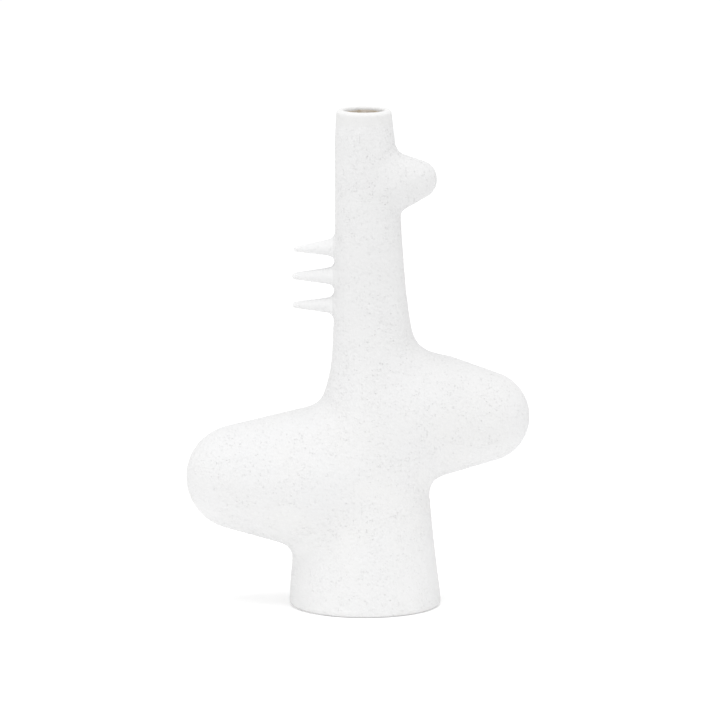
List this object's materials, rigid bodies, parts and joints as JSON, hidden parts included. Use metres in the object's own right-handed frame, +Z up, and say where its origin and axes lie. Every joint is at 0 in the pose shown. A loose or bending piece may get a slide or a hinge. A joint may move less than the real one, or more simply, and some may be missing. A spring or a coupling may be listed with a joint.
{
  "type": "bud vase",
  "caption": "Abstract ceramic bud vase: a tapered trunk with rounded hollow side lobes, a small nose knob, thin spikes on the neck and a narrow round mouth.",
  "frame": {"origin": "middle of the foot, on the surface that the vase stands on", "axes": "+Z up along the trunk, +X towards the nose and the upper lobe, -Y the front, so +X is on the right as seen from the front"},
  "size_m": [0.2259, 0.0994, 0.33],
  "materials": {
    "white_stoneware": "matte, with a fine sandy grain",
    "foot_stoneware": "matte, bare clay on the underside",
    "lip_stoneware": "matte, smoother than the body",
    "beige_glaze": "glossy"
  },
  "bodies": {
    "root": {"foot_slab": "foot_stoneware", "foot_wall": "white_stoneware", "belly": "white_stoneware", "shoulder": "white_stoneware", "left_lobe": "white_stoneware", "right_lobe": "white_stoneware", "neck": "white_stoneware", "nose": "white_stoneware", "lip": "lip_stoneware", "spike_upper": "white_stoneware", "spike_middle": "white_stoneware", "spike_lower": "white_stoneware", "glaze_lining": "beige_glaze"}
  },
  "joints": []
}
